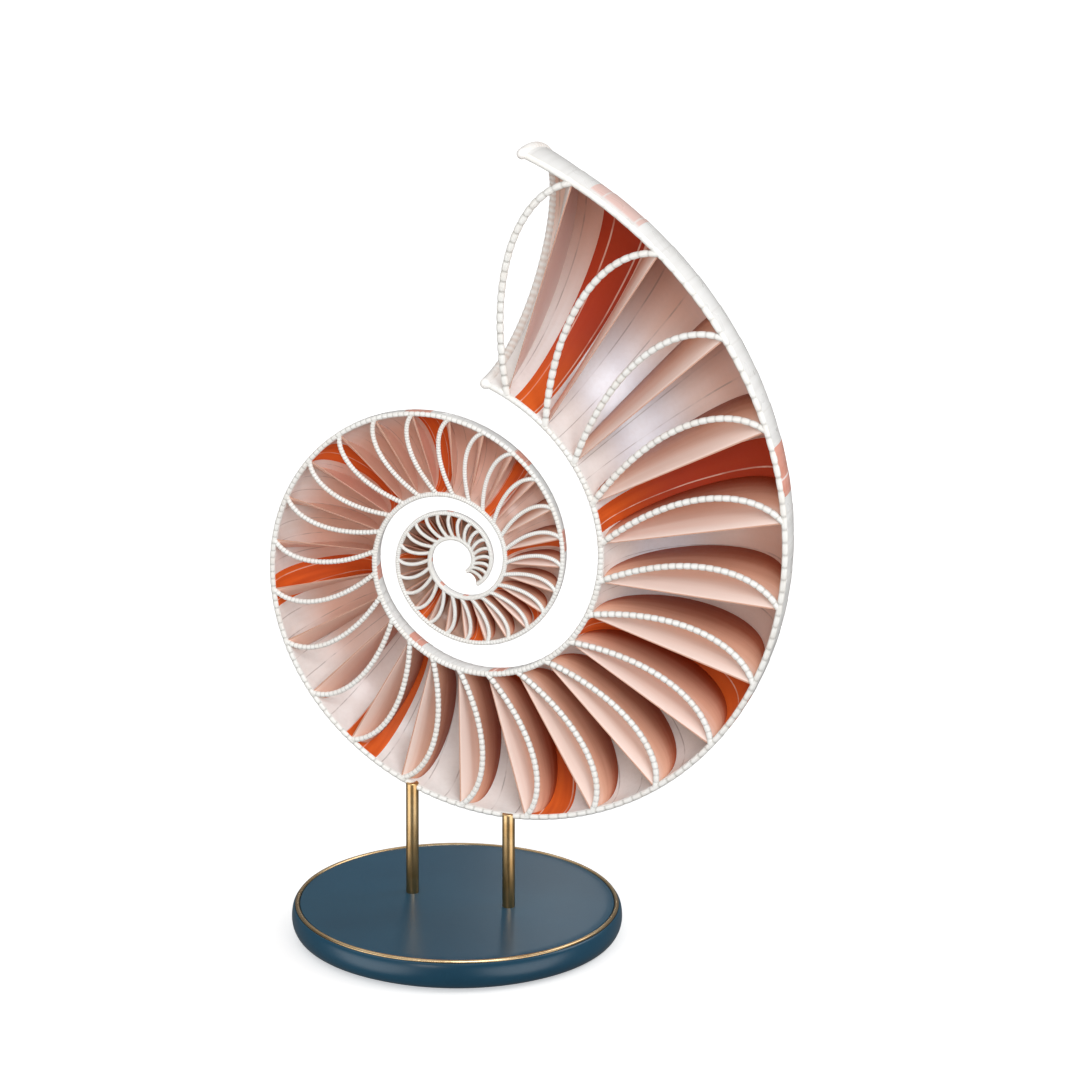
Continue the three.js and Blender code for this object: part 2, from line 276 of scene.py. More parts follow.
class Net:
    """A node tree, with short calls that add nodes and join them."""

    def __init__(self, tree: bpy.types.NodeTree) -> None:
        """Takes up a tree."""
        self.tree = tree

    def _feed(self, socket: Socket, value: object) -> None:
        """Gives a socket a number, a colour as six digits or another node's result."""
        if isinstance(value, Socket):
            self.tree.links.new(value, socket)
        elif isinstance(value, str):
            socket.default_value = shade(value)
        else:
            socket.default_value = value

    def maths(self, operation: str, *terms: object) -> Socket:
        """One step of arithmetic on up to three numbers or results of other nodes."""
        node = self.tree.nodes.new("ShaderNodeMath")
        node.operation = operation
        for socket, term in zip(node.inputs, terms):
            self._feed(socket, term)
        return node.outputs[0]

    def times(self, product: object, *others: object) -> Socket:
        """The product of two or more numbers."""
        for term in others:
            product = self.maths("MULTIPLY", product, term)
        return product

    def spread(self, value: object, low: float, high: float, to_low: float = 0.0,
               to_high: float = 1.0) -> Socket:
        """Maps one range on another, eased in and out and held at its ends.

        Args:
            value: The number to map.
            low: Where the range starts.
            high: Where it ends.
            to_low: The result at the start.
            to_high: The result at the end.

        Returns:
            The mapped number.
        """
        node = self.tree.nodes.new("ShaderNodeMapRange")
        node.interpolation_type = "SMOOTHSTEP"
        for name, number in (("Value", value), ("From Min", low), ("From Max", high),
                             ("To Min", to_low), ("To Max", to_high)):
            self._feed(node.inputs[name], number)
        return node.outputs[0]

    def hill(self, value: object, rise: Span, fall: Span) -> Socket:
        """One between two spans and nothing beyond them."""
        return self.times(self.spread(value, *rise), self.spread(value, *fall))

    def along(self, way: Socket, axis: tuple[float, float, float]) -> Socket:
        """How far a direction points along an axis, from -1 to 1."""
        node = self.tree.nodes.new("ShaderNodeVectorMath")
        node.operation = "DOT_PRODUCT"
        self._feed(node.inputs[0], way)
        self._feed(node.inputs[1], axis)
        return node.outputs["Value"]


class Weave(Net):
    """A material and its node tree."""

    def __init__(self, name: str) -> None:
        """Starts a material of this name with a plain Principled shader."""
        self.material = bpy.data.materials.new(name)
        self.material.use_nodes = True
        super().__init__(self.material.node_tree)
        self.shader = self.tree.nodes["Principled BSDF"]

    def set(self, socket: str, value: float | tuple) -> None:
        """Sets a socket of the shader to one value for the whole surface."""
        self.shader.inputs[socket].default_value = value

    def drive(self, socket: str, source: Socket) -> None:
        """Joins a node's result to a socket of the shader."""
        self.tree.links.new(source, self.shader.inputs[socket])

    def value(self, name: str) -> Socket:
        """A named value of the mesh's points."""
        node = self.tree.nodes.new("ShaderNodeAttribute")
        node.attribute_name = name
        return node.outputs["Fac"]

    def position(self) -> Socket:
        """The place of the shaded point in the object."""
        return self.tree.nodes.new("ShaderNodeTexCoord").outputs["Object"]

    def mix(self, share: object, first: object, second: object) -> Socket:
        """Mixes two colours, with this share of the second."""
        node = self.tree.nodes.new("ShaderNodeMix")
        node.data_type = "RGBA"
        self._feed(node.inputs["Factor"], share)
        colours = [socket for socket in node.inputs if socket.type == "RGBA"]
        self._feed(colours[0], first)
        self._feed(colours[1], second)
        return next(socket for socket in node.outputs if socket.type == "RGBA")

    def combine(self, x: object, y: object, z: object) -> Socket:
        """Joins three numbers into a vector."""
        node = self.tree.nodes.new("ShaderNodeCombineXYZ")
        for socket, term in zip(node.inputs, (x, y, z)):
            self._feed(socket, term)
        return node.outputs[0]

    def noise(self, vector: Socket, scale: float, detail: float = 2.0, roughness: float = 0.5) -> Socket:
        """Smooth noise from 0 to 1.

        Args:
            vector: Where the noise is read.
            scale: How many blobs to a unit.
            detail: How many finer layers it has.
            roughness: How strong the finer layers are.

        Returns:
            The noise.
        """
        node = self.tree.nodes.new("ShaderNodeTexNoise")
        for name, value in (("Vector", vector), ("Scale", scale), ("Detail", detail),
                            ("Roughness", roughness)):
            self._feed(node.inputs[name], value)
        return node.outputs["Fac"]

    def gloss(self, grain: Socket, sharpest: float, mattest: float) -> Socket:
        """A roughness that follows a noise."""
        return self.spread(grain, 0.2, 0.8, sharpest, mattest)

    def relief(self, height: Socket, distance: float, strength: float) -> None:
        """Raises the surface by a height.

        Args:
            height: The height from 0 to 1.
            distance: What 1 stands for, in metres.
            strength: How much of it shows.
        """
        node = self.tree.nodes.new("ShaderNodeBump")
        for name, value in (("Strength", strength), ("Distance", distance), ("Height", height)):
            self._feed(node.inputs[name], value)
        self.drive("Normal", node.outputs["Normal"])


def shade(code: str) -> tuple[float, float, float, float]:
    """Turns a colour written as six hexadecimal digits into linear light with full opacity."""
    parts = [int(code[i:i + 2], 16) / 255 for i in (0, 2, 4)]
    linear = [p / 12.92 if p <= 0.04045 else ((p + 0.055) / 1.055) ** 2.4 for p in parts]
    return (*linear, 1.0)


@dataclass(frozen=True)
class Stripe:
    """One burnt-orange stripe across the tube, between two angles round the coil."""

    start: float
    end: float

    @property
    def middle(self) -> float:
        """The angle of its middle."""
        return (self.start + self.end) / 2

    @property
    def half(self) -> float:
        """Half its width."""
        return (self.start - self.end) / 2


@dataclass(frozen=True)
class Markings:
    """The stripes and growth lines, which cross the tube at even angles round the coil."""

    stripes: tuple[Stripe, ...] = (
        Stripe(71.2, 63.1), Stripe(26.3, 18.4), Stripe(-17.2, -26.4), Stripe(-65.0, -73.6),
        Stripe(-111.5, -120.9), Stripe(-158.2, -167.4), Stripe(-207.0, -215.8), Stripe(-249.3, -259.3),
        Stripe(-296.3, -304.7), Stripe(-337.0, -347.9), Stripe(-385.2, -394.2), Stripe(-432.0, -441.0),
        Stripe(-476.6, -485.0), Stripe(-527.6, -536.5), Stripe(-577.0, -585.0), Stripe(-617.5, -625.0),
    )
    first_line: float = 74.5
    line_step: float = 5.3
    line_drift: float = 0.00065
    line_half_width: float = 0.14
    line_blur: float = 0.3
    waver: float = 0.03
    waver_pitch: Span = (0.05, 9.0)

    def stripe_mask(self, weave: Weave, angle: Socket) -> Socket:
        """One on the stripes and nothing between them."""
        mask = 0.0
        for stripe in self.stripes:
            mask = weave.maths("ADD", weave.maths("COMPARE", angle, stripe.middle, stripe.half), mask)
        return mask

    def lines(self, weave: Weave, angle: Socket, around: Socket, seed: float) -> tuple[Socket, Socket]:
        """The nearest growth line, which wavers a little.

        Args:
            weave: The material that is being made.
            angle: The angle round the coil.
            around: The place round the half tube.
            seed: Sets one skin's wavering apart from the other's.

        Returns:
            The line's number, and a mask that is one on the line and fades out at its edges.
        """
        turn_pitch, place_pitch = self.waver_pitch
        slow = weave.combine(weave.times(angle, turn_pitch), weave.times(around, place_pitch), seed)
        wander = weave.times(weave.maths("SUBTRACT", weave.noise(slow, 1.0), 0.5), self.waver)
        past = weave.maths("SUBTRACT", self.first_line, angle)
        step = weave.maths("MULTIPLY_ADD", past, self.line_drift, self.line_step)
        phase = weave.maths("ADD", weave.maths("DIVIDE", past, step), wander)
        number = weave.maths("ROUND", phase)
        away = weave.maths("ABSOLUTE", weave.maths("SUBTRACT", phase, number))
        none, full = (self.line_half_width * (1 + side * self.line_blur) for side in (1, -1))
        return number, weave.spread(weave.times(away, self.line_step), none, full)

    def line_angles(self, coil: Coil) -> np.ndarray:
        """The angles of all growth lines on a coil."""
        angles = []
        number = 0
        angle = self.first_line
        while angle > coil.apex:
            angles.append(angle)
            number += 1
            angle = self.first_line - self.line_step * number / (1 - self.line_drift * number)
        return np.array(angles)


# painted shade, painted light and a painted highlight: the tints by place in this finish
@dataclass(frozen=True)
class NacreFinish:
    """The glossy inner skin of the wall: grey-beige nacre, orange stripes, thin dark growth lines.

    A field that ends in turn is a span of angles round the coil, one that ends in place is a span of places
    round the half tube, and one that ends in share says how much of a tint there is at most.
    """

    markings: Markings
    pearl: str = "E8E3DF"
    pearl_warm: str = "E2D9D2"
    # painted shade: warm brown near the outer rim in the upper right chambers and from the left chambers
    # inwards
    pearl_shade: str = "E29C76"
    # painted light: paler wall near the inner rim and in the lower chambers, where light falls
    pearl_lit: str = "F8F4F0"
    # painted highlight: a cool white band across the wall of the upper right chambers
    pearl_highlight: str = "ECEFF8"
    # painted shade: darker brown wall deep in the inner whorls
    pearl_inner_shade: str = "AC7654"
    fleck: str = "BCA89C"
    stripe: str = "E2641A"
    stripe_deep: str = "D25410"
    # painted shade: the stripes deeper red towards the outer rim in the upper right chambers
    stripe_shade: str = "B02E00"
    pale_line: str = "F4D0BC"
    dark_line: str = "6E564C"
    upper_turn: Span = (-30.0, 10.0)
    lower_turn: tuple[Span, Span] = ((-25.0, -45.0), (-165.0, -125.0))
    left_turn: Span = (-110.0, -145.0)
    inner_shade_turn: Span = (-310.0, -450.0)
    highlight_turn: Span = (68.0, 54.0)
    upper_place: Span = (0.75, 0.35)
    left_place: Span = (0.12, 0.4)
    highlight_place: tuple[Span, Span] = ((0.5, 0.68), (0.92, 0.76))
    lit_place: Span = (0.75, 0.95)
    stripe_shade_place: Span = (0.95, 0.62)
    shade_share: float = 0.6
    inner_shade_share: float = 0.75
    highlight_share: float = 0.8
    lower_lit_share: float = 0.8
    left_share: float = 0.8
    fleck_share: float = 0.08
    stripe_shade_share: float = 0.9
    dark_line_share: Span = (0.06, 0.42)
    pale_line_share: Span = (0.35, 0.8)
    stripe_matt: float = 0.35
    coat: float = 0.6

    def make(self) -> bpy.types.Material:
        """Makes the material."""
        weave = Weave("nacre")
        angle = weave.value("angle")
        around = weave.value("around")
        number, line = self.markings.lines(weave, angle, around, 0.0)
        along_line = weave.combine(weave.times(number, 7.3), weave.times(around, 6.0), 0.0)
        broken = weave.spread(weave.noise(along_line, 1.0, 3.0, 0.6), 0.36, 0.6)
        streak = weave.noise(weave.combine(weave.times(angle, 0.5), weave.times(around, 1.5), 0.0), 1.0)
        fleck = weave.noise(weave.position(), 900.0, 2.0, 0.6)
        upper = weave.spread(angle, *self.upper_turn)
        ground = self._ground(weave, angle, around, upper, streak)
        ground = weave.mix(weave.spread(fleck, 0.35, 0.75, 0.0, self.fleck_share), ground, self.fleck)
        faint = weave.times(line, weave.spread(broken, 0.0, 1.0, *self.dark_line_share))
        ground = weave.mix(faint, ground, self.dark_line)
        colour = weave.mix(weave.spread(streak, 0.35, 0.7), self.stripe, self.stripe_deep)
        # painted shade: the stripes deeper red towards the outer rim in the upper right chambers
        shaded = weave.times(weave.spread(around, *self.stripe_shade_place), upper, self.stripe_shade_share)
        colour = weave.mix(shaded, colour, self.stripe_shade)
        clear = weave.times(line, weave.spread(broken, 0.0, 1.0, *self.pale_line_share))
        colour = weave.mix(clear, colour, self.pale_line)
        mask = self.markings.stripe_mask(weave, angle)
        weave.drive("Base Color", weave.mix(mask, ground, colour))
        matt = weave.times(mask, self.stripe_matt)
        weave.drive("Roughness", weave.maths("ADD", weave.gloss(fleck, 0.32, 0.38), matt))
        weave.drive("Coat Weight", weave.spread(mask, 0.0, 1.0, self.coat, 0.0))
        weave.set("Specular IOR Level", 0.5)
        weave.set("Coat Roughness", 0.3)
        weave.relief(weave.maths("SUBTRACT", weave.times(streak, 0.5), line), 0.00004, 0.3)
        return weave.material

    def _ground(self, weave: Weave, angle: Socket, around: Socket, upper: Socket, streak: Socket) -> Socket:
        """The nacre between the stripes, with painted shade, painted light and a painted highlight by place.

        Args:
            weave: The material that is being made.
            angle: The angle round the coil.
            around: The place round the half tube.
            upper: One in the chambers at the upper right.
            streak: Noise drawn out along the wall.

        Returns:
            The colour.
        """
        ground = weave.mix(weave.spread(streak, 0.3, 0.75), self.pearl, self.pearl_warm)
        # painted shade: warm brown near the outer rim in the upper right chambers and from the left chambers
        # inwards
        right = weave.times(weave.spread(around, *self.upper_place), upper)
        left = weave.times(weave.spread(around, *self.left_place), weave.spread(angle, *self.left_turn))
        warm = weave.times(weave.maths("ADD", right, left), self.shade_share)
        ground = weave.mix(warm, ground, self.pearl_shade)
        # painted shade: darker brown wall deep in the inner whorls
        inner = weave.spread(angle, *self.inner_shade_turn, 0.0, self.inner_shade_share)
        ground = weave.mix(inner, ground, self.pearl_inner_shade)
        # painted highlight: a cool white band across the wall of the upper right chambers
        glint = weave.times(upper, weave.spread(angle, *self.highlight_turn))
        highlight = weave.times(weave.hill(around, *self.highlight_place), glint, self.highlight_share)
        ground = weave.mix(highlight, ground, self.pearl_highlight)
        # painted light: paler wall near the inner rim and in the lower chambers, held back in the left
        # chambers
        lower = weave.times(weave.hill(angle, *self.lower_turn), self.lower_lit_share)
        pale = weave.maths("MAXIMUM", weave.spread(around, *self.lit_place), lower)
        open_wall = weave.maths("SUBTRACT", 1.0, weave.times(left, self.left_share))
        return weave.mix(weave.times(pale, open_wall), ground, self.pearl_lit)


@dataclass(frozen=True)
class PorcelainFinish:
    """The glossy white outer skin with salmon stripes, each crossed by one thin white growth line."""

    markings: Markings
    white: str = "F0EEEB"
    grey: str = "E4E1DD"
    grey_line: str = "D6D1CB"
    salmon: str = "E59A84"
    salmon_pale: str = "EAA896"
    white_line: str = "FBF4F0"
    grey_line_share: float = 0.3
    white_line_share: float = 0.7
    rim_place: Span = (0.035, 0.004)
    worn_share: Span = (0.45, 0.95)

    def make(self) -> bpy.types.Material:
        """Makes the material."""
        weave = Weave("porcelain")
        angle = weave.value("angle")
        around = weave.value("around")
        _, line = self.markings.lines(weave, angle, around, 3.0)
        streak = weave.noise(weave.combine(weave.times(angle, 0.6), weave.times(around, 1.2), 5.0), 1.0)
        fleck = weave.noise(weave.position(), 160.0, 1.0)
        ground = weave.mix(weave.spread(streak, 0.35, 0.75, 0.0, 0.8), self.white, self.grey)
        ground = weave.mix(weave.times(line, self.grey_line_share), ground, self.grey_line)
        colour = weave.mix(weave.spread(streak, 0.3, 0.7), self.salmon, self.salmon_pale)
        colour = weave.mix(weave.times(line, self.white_line_share), colour, self.white_line)
        at_mouth = weave.spread(angle, self.markings.stripes[1].start, self.markings.stripes[0].end)
        at_rim = weave.spread(around, *self.rim_place)
        worn = weave.times(at_mouth, weave.spread(at_rim, 0.0, 1.0, *self.worn_share))
        mask = weave.times(self.markings.stripe_mask(weave, angle), weave.maths("SUBTRACT", 1.0, worn))
        weave.drive("Base Color", weave.mix(mask, ground, colour))
        weave.drive("Roughness", weave.gloss(fleck, 0.26, 0.31))
        weave.set("Specular IOR Level", 0.5)
        weave.set("Coat Weight", 0.2)
        weave.set("Coat Roughness", 0.2)
        weave.relief(streak, 0.00001, 0.1)
        return weave.material


@dataclass(frozen=True)
class SeptumFinish:
    """The thin walls across the tube: peach at the cut, deeper orange-brown inside as painted shade, faint
    bands.

    The spans of numbers count the septa from the mouth.
    """

    pale: str = "EFD6CA"
    peach: str = "DEA88E"
    # painted shade: the deep orange-brown further behind the cut
    deep_shade: str = "9A4422"
    rose: str = "ECBEAA"
    # painted shade: darker umber septa in the inner whorls
    umber_shade: str = "8A4A30"
    mouth: str = "F6E8E0"
    # painted shade: the front edge darkened against the light that catches it
    edge: str = "C99A84"
    edge_share: float = 0.01
    band_share: float = 0.3
    rose_numbers: tuple[Span, Span] = ((12.0, 15.0), (27.0, 24.0))
    rose_share: float = 0.85
    mouth_numbers: Span = (0.9, 0.1)
    mouth_share: float = 0.75
    umber_shade_numbers: Span = (34.0, 44.0)
    umber_shade_share: float = 0.75

    def make(self) -> bpy.types.Material:
        """Makes the material."""
        weave = Weave("septum")
        back = weave.value("back")
        around = weave.value("around")
        number = weave.value("number")
        banded = weave.combine(weave.times(around, 1.3), weave.times(back, 7.0), weave.times(number, 3.7))
        streak = weave.noise(banded, 1.0, 3.0, 0.6)
        shifted = weave.maths("MULTIPLY_ADD", weave.maths("SUBTRACT", streak, 0.5), self.band_share, back)
        # painted shade: pale at the cut, through peach, to deep orange-brown further inside
        colour = weave.mix(weave.spread(shifted, 0.0, 0.45), self.pale, self.peach)
        colour = weave.mix(weave.spread(shifted, 0.35, 0.95), colour, self.deep_shade)
        rosy = weave.times(weave.hill(number, *self.rose_numbers), self.rose_share)
        colour = weave.mix(rosy, colour, self.rose)
        at_mouth = weave.spread(number, *self.mouth_numbers, 0.0, self.mouth_share)
        colour = weave.mix(at_mouth, colour, self.mouth)
        # painted shade: the front edge darkened against the light that catches it
        colour = weave.mix(weave.spread(back, self.edge_share, 0.0), colour, self.edge)
        # painted shade: darker umber septa in the inner whorls
        inmost = weave.spread(number, *self.umber_shade_numbers, 0.0, self.umber_shade_share)
        colour = weave.mix(inmost, colour, self.umber_shade)
        weave.drive("Base Color", colour)
        fleck = weave.noise(weave.position(), 800.0, 2.0, 0.6)
        weave.drive("Roughness", weave.gloss(fleck, 0.38, 0.5))
        weave.set("Specular IOR Level", 0.4)
        weave.relief(streak, 0.00008, 0.4)
        return weave.material


@dataclass(frozen=True)
class BeadFinish:
    """The white beads of rims and strands, with painted shade of darker grey in the notches between them."""

    name: str
    white: str = "EDEBE6"
    # painted shade: the grey in the notches between the beads
    notch: str = "AFABA3"
    warm: str = "E8E1D8"

    def make(self) -> bpy.types.Material:
        """Makes the material."""
        weave = Weave(self.name)
        tint = weave.noise(weave.position(), 220.0)
        fleck = weave.noise(weave.position(), 1500.0, 2.0, 0.6)
        colour = weave.mix(weave.spread(tint, 0.35, 0.75, 0.0, 0.6), self.white, self.warm)
        # painted shade in the notches between the beads
        weave.drive("Base Color", weave.mix(weave.value("notch"), colour, self.notch))
        weave.drive("Roughness", weave.gloss(fleck, 0.28, 0.42))
        weave.set("Specular IOR Level", 0.5)
        weave.relief(fleck, 0.00004, 0.3)
        return weave.material


@dataclass(frozen=True)
class LacquerFinish:
    """Satin petrol-blue lacquer, a little cloudy in colour, with the finest dust in it."""

    blue: str = "205874"
    blue_deep: str = "1B506B"
    dust: str = "3A6E88"
    dust_share: float = 0.06
    roughness: float = 0.28

    def make(self) -> bpy.types.Material:
        """Makes the material."""
        weave = Weave("lacquer")
        cloud = weave.noise(weave.position(), 35.0)
        fleck = weave.noise(weave.position(), 500.0, 2.0, 0.6)
        colour = weave.mix(weave.spread(cloud, 0.3, 0.7), self.blue, self.blue_deep)
        dusty = weave.spread(fleck, 0.45, 0.75, 0.0, self.dust_share)
        weave.drive("Base Color", weave.mix(dusty, colour, self.dust))
        weave.set("Roughness", self.roughness)
        weave.set("Specular IOR Level", 0.5)
        return weave.material


@dataclass(frozen=True)
class BrassFinish:
    """Satin brass with fine turning marks round its axis, and a painted reflection that darkens the foot if
    asked.
    """

    name: str
    gold: str = "DDBC8A"
    gold_dark: str = "CDA670"
    roughness: float = 0.31
    # painted reflection: the dark base mirrored in the lower posts, as darker brass towards the foot
    foot: str = "7A5C30"
    foot_shade_share: float = 0.0
    foot_shade_span: Span = (34.0, 12.0)

    def make(self) -> bpy.types.Material:
        """Makes the material."""
        weave = Weave(self.name)
        marks = weave.noise(weave.combine(weave.value("run"), 0.0, 0.0), 6.0, 3.0, 0.7)
        cloud = weave.noise(weave.position(), 180.0)
        colour = weave.mix(weave.spread(cloud, 0.3, 0.7), self.gold, self.gold_dark)
        # painted reflection of the dark base, darker towards the foot
        if self.foot_shade_share > 0:
            low = weave.spread(weave.value("run"), *self.foot_shade_span, 0.0, self.foot_shade_share)
            colour = weave.mix(low, colour, self.foot)
        weave.drive("Base Color", colour)
        weave.drive("Roughness", weave.gloss(marks, self.roughness - 0.04, self.roughness + 0.06))
        weave.set("Metallic", 1.0)
        weave.relief(marks, 0.00002, 0.08)
        return weave.material


@dataclass
class ShellHalf:
    """The halved shell: its wall, septa, beaded strands, beaded rims and rolled lip."""

    coil: Coil = field(default_factory=Coil)
    markings: Markings = field(default_factory=Markings)
    wall_step: float = 1.85
    wall_columns: int = 40
    growth_step: float = 0.12
    line_edge: float = 0.12
    line_room: float = 3.0
    septum_half: float = 0.12
    septum_nose: float = 0.06
    septum_sweep: float = 5.3
    mouth_sweep: tuple[float, ...] = (0.55, 0.65, 0.85)
    lean_power: float = 0.3
    sheet_columns: int = 28
    sheet_rows: int = 12
    sheet_power: float = 1.3
    sheet_inset: float = 0.7
    large_septa: int = 30
    small_sheet_share: float = 0.6
    strand_start: float = 0.42
    strand_growth: float = 0.0049
    strand_beads: float = 24.0
    strand_bead_growth: float = 0.3
    strand_sides: int = 12
    small_sides: int = 8
    strand_rings: tuple[float, ...] = (0.0, 0.08, 0.2, 0.5, 0.8, 0.92)
    small_rings: tuple[float, ...] = (0.0, 0.3, 0.7)
    large_strands: int = 24
    curve_points: int = 200
    bead_points: int = 32
    notch_outer: float = 0.17
    notch_inner: float = 0.32
    notch_half: float = 0.14
    pillow_power: float = 0.4
    small_notch_share: float = 0.6
    bow: tuple[Span, ...] = ((0.0, 0.0), (0.12, 0.2), (0.52, 0.25), (1.0, 0.0))
    rim_bead_step: float = 2.114
    rim_sides: int = 10
    rim_notch: float = 0.2
    rim_depths: Span = (0.15, 0.85)
    rim_shades: Span = (0.1, 0.6)
    smooth_rim: float = 8.0
    rim_fade: float = 30.0
    lip_radius: float = 1.4
    lip_rib: float = 1.9
    lip_tip: float = 0.02
    lip_end_rings: int = 6
    lip_lean: float = 0.17
    rib_depth: float = 0.08
    rib_points: int = 6
    rib_fade: float = 0.08
    rib_late: float = 0.4
    lip_sides: int = 20

    def dress(self, piece: bpy.types.Object) -> bpy.types.Object:
        """Puts a piece of the shell on the frame in place of the plain solid."""
        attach(piece, "root")
        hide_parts("shell")
        return piece

    def stations(self) -> np.ndarray:
        """Angles of the wall's rows: even steps, and two close rows at each growth line."""
        rows = int((self.coil.mouth - self.coil.apex) / self.wall_step)
        even = np.linspace(self.coil.mouth, self.coil.apex, rows)
        lines = self.markings.line_angles(self.coil)
        clear = np.abs(even[:, None] - lines[None]).min(axis=1) > self.line_room * self.line_edge
        even = even[clear | (even == self.coil.mouth) | (even == self.coil.apex)]
        return np.sort(np.concatenate([even, lines + self.line_edge, lines - self.line_edge]))[::-1]

    def outer_steps(self, angles: np.ndarray) -> np.ndarray:
        """How far the outer skin stands out: each growth line is a low step that dies away to the next."""
        lines = self.markings.line_angles(self.coil)
        past = lines[None] - angles[:, None]
        after = np.where(past >= 0, past, np.inf).min(axis=1)
        fade = np.clip(1 - after / self.markings.line_step, 0, 1)
        size = self.growth_step * self.coil.outer(angles) / self.coil.outer(self.coil.mouth)
        return size * fade - size

    def wall(self) -> bpy.types.Object:
        """Builds the half tube's wall, its inner skin nacre and its outer skin porcelain."""
        angles = self.stations()
        around = np.linspace(0, 1, self.wall_columns + 1)
        inner = self.coil.half_wall(angles)[:, None]
        outer = inner + self.outer_steps(angles)[:, None]
        grid_angle, grid_around = np.meshgrid(angles, around, indexing="ij")
        outside = self.coil.tube(grid_angle, grid_around, outer)
        inside = self.coil.tube(grid_angle, grid_around, -inner)
        values = {"angle": grid_angle, "around": grid_around}
        draft = Draft("shell_wall")
        draft.grid(inside, values, slot=Skin.NACRE.value, flip=True)
        draft.grid(outside, values, slot=Skin.PORCELAIN.value)
        for column in (0, -1):
            edge = np.stack([outside[:, column], inside[:, column]], axis=1)
            edge_values = {key: np.stack([value[:, column]] * 2, axis=1) for key, value in values.items()}
            draft.grid(edge, edge_values, slot=Skin.PORCELAIN.value, flip=column == 0)
        for row in (0, -1):
            end = np.stack([outside[row], inside[row]])
            end_values = {key: np.stack([value[row]] * 2) for key, value in values.items()}
            draft.grid(end, end_values, slot=Skin.PORCELAIN.value, flip=row == 0)
        materials = [NacreFinish(self.markings).make(), PorcelainFinish(self.markings).make()]
        return self.dress(draft.build(materials))

    def lean(self, around: np.ndarray) -> np.ndarray:
        """How far the back edge of a septum leans towards the mouth, in degrees."""
        return self.septum_sweep * np.clip(np.sin(np.pi * around), 0, 1) ** self.lean_power

    def septa(self) -> bpy.types.Object:
        """Builds all septa as thin closed sheets with a rounded front edge."""
        draft = Draft("shell_septa")
        for index in range(self.coil.septa):
            self._septum(draft, index)
        return self.dress(draft.build([SeptumFinish().make()], sharp=60.0))

    def _septum(self, draft: Draft, index: int) -> None:
        """Adds one septum to the draft."""
        angle = self.coil.septum_angle(index)
        share = 1.0 if index < self.large_septa else self.small_sheet_share
        across = np.linspace(0, 1, int(self.sheet_columns * share) + 1)
        around = (1 - np.cos(np.pi * across)) / 2
        back = np.linspace(0, 1, int(self.sheet_rows * share) + 1) ** self.sheet_power
        grid_back, grid_around = np.meshgrid(back, around, indexing="ij")
        inset = -float(self.coil.half_wall(angle)) * self.sheet_inset
        sweep = self.mouth_sweep[index] if index < len(self.mouth_sweep) else 1.0
        lean = sweep * grid_back * (2 - grid_back) * self.lean(grid_around)
        twist = math.degrees(self.septum_half / float(self.coil.middle(angle)))
        values = {"back": grid_back, "around": grid_around, "number": np.full_like(grid_back, index)}
        near, far = (self.coil.tube(angle + side * twist + lean, grid_around, inset, grid_back)
                     for side in (1, -1))
        nose = self.coil.tube(np.full_like(around, angle), around, inset, 0.0) - [0, self.septum_nose, 0]
        draft.grid(np.concatenate([near[::-1], nose[None], far]),
                   {key: np.concatenate([value[::-1], value[:1], value]) for key, value in values.items()})
        draft.grid(np.stack([far[-1], near[-1]]),
                   {key: np.stack([value[-1]] * 2) for key, value in values.items()})

    def bead_profile(self, phase: np.ndarray, depth: np.ndarray) -> tuple[np.ndarray, np.ndarray]:
        """The radius share and the painted shade in the notches along a string of beads.

        Args:
            phase: Place along the string, a whole number at each notch.
            depth: How deep the notches are.

        Returns:
            The share of the full radius, and the painted shade share, one where the beads meet.
        """
        pillow = np.abs(np.sin(np.pi * phase)) ** self.pillow_power
        away = np.abs(phase - np.round(phase))
        return 1 - depth * (1 - pillow), np.clip(1 - away / self.notch_half, 0, 1)

    def strands(self) -> bpy.types.Object:
        """Builds the beaded strands in the cut plane."""
        draft = Draft("shell_strands")
        for index in range(self.coil.septa):
            self._strand(draft, index)
        return self.dress(draft.build([BeadFinish("strand_beads").make()], sharp=80.0))

    def strand_line(self, angle: float, count: int) -> np.ndarray:
        """The middle line of a strand, from the outer rim to the inner rim, in even steps.

        Args:
            angle: The strand's angle round the coil.
            count: How many points.

        Returns:
            The points.
        """
        share = np.linspace(0, 1, self.curve_points)[:, None]
        knots = np.array(self.bow)
        curve = ((1 - share) ** 3 * knots[0] + 3 * share * (1 - share) ** 2 * knots[1]
                 + 3 * share**2 * (1 - share) * knots[2] + share**3 * knots[3])
        length = np.concatenate([[0], np.cumsum(np.linalg.norm(np.diff(curve, axis=0), axis=1))])
        even = np.linspace(0, length[-1], count)
        run = np.interp(even, length, curve[:, 0])
        off = np.interp(even, length, curve[:, 1])
        width = float(self.coil.outer(angle) - self.coil.inner(angle))
        turn = math.radians(angle)
        start = self.coil.place(angle, self.coil.outer(angle), 0.0)
        inward = np.array([-math.cos(turn), 0, -math.sin(turn)])
        mouthward = np.array([-math.sin(turn), 0, math.cos(turn)])
        return start + width * (run[:, None] * inward + off[:, None] * mouthward)

